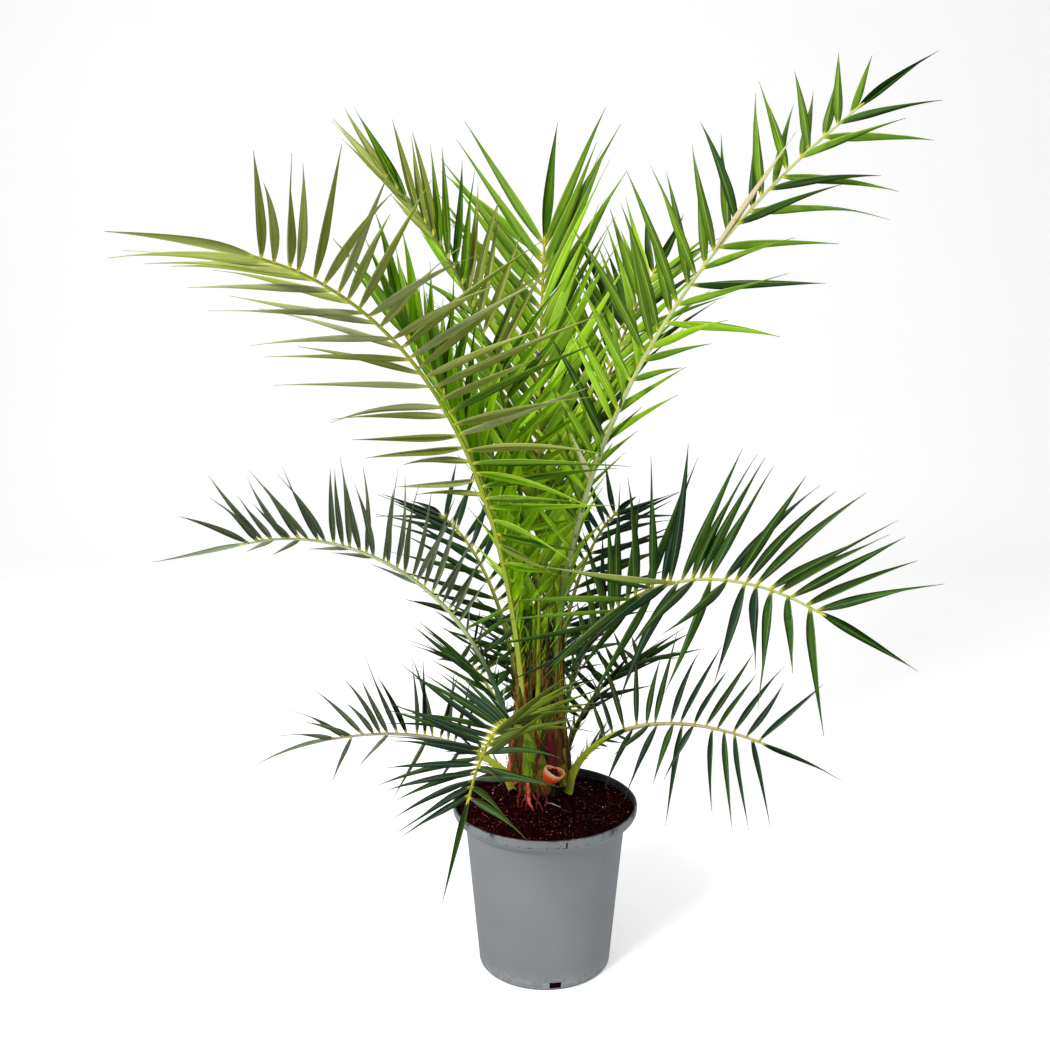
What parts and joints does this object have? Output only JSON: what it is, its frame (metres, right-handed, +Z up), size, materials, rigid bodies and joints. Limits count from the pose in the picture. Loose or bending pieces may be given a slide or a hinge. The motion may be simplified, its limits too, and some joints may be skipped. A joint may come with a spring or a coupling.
{
  "type": "potted date palm",
  "caption": "Young feather-leaved date palm in a round grey nursery pot, with erect inner fronds, arching lower fronds and dark soil heaped round its short stem.",
  "frame": {"origin": "centre of the pot's flat underside", "axes": "+Z up along the pot's axis, -Y towards the viewer of the palm's broad side, +X to that viewer's right"},
  "size_m": [0.919, 0.883, 1.1609],
  "materials": {
    "pot_plastic": "satin grey moulded plastic",
    "soil": "damp dark red-brown potting compost",
    "trunk_fibre": "rough leaf bases and brown fibre",
    "foliage_upper": "satin yellow-green leaf",
    "foliage_lower": "satin dark green leaf"
  },
  "bodies": {
    "root": {"pot": "pot_plastic", "soil": "soil", "trunk": "trunk_fibre", "frond_01_front_left": "foliage_upper", "frond_02_back_left": "foliage_upper", "frond_03_centre": "foliage_upper", "frond_04_front_right": "foliage_upper", "frond_05_back_right": "foliage_upper", "frond_06_inner_left": "foliage_upper", "frond_07_middle_left_inner": "foliage_lower", "frond_07_middle_left_outer": "foliage_lower", "frond_08_middle_right_inner": "foliage_lower", "frond_08_middle_right_outer": "foliage_lower", "frond_09_middle_back_left": "foliage_lower", "frond_10_middle_back_right": "foliage_lower", "frond_11_low_right_inner": "foliage_lower", "frond_11_low_right_outer": "foliage_lower", "frond_12_low_front_inner": "foliage_lower", "frond_12_low_front_outer": "foliage_lower", "frond_13_low_left_inner": "foliage_lower", "frond_13_low_left_outer": "foliage_lower", "frond_14_low_back_inner": "foliage_lower", "frond_14_low_back_outer": "foliage_lower", "frond_15_low_back_right_inner": "foliage_lower", "frond_15_low_back_right_outer": "foliage_lower", "frond_16_low_back_left_inner": "foliage_lower", "frond_16_low_back_left_outer": "foliage_lower"}
  },
  "joints": []
}
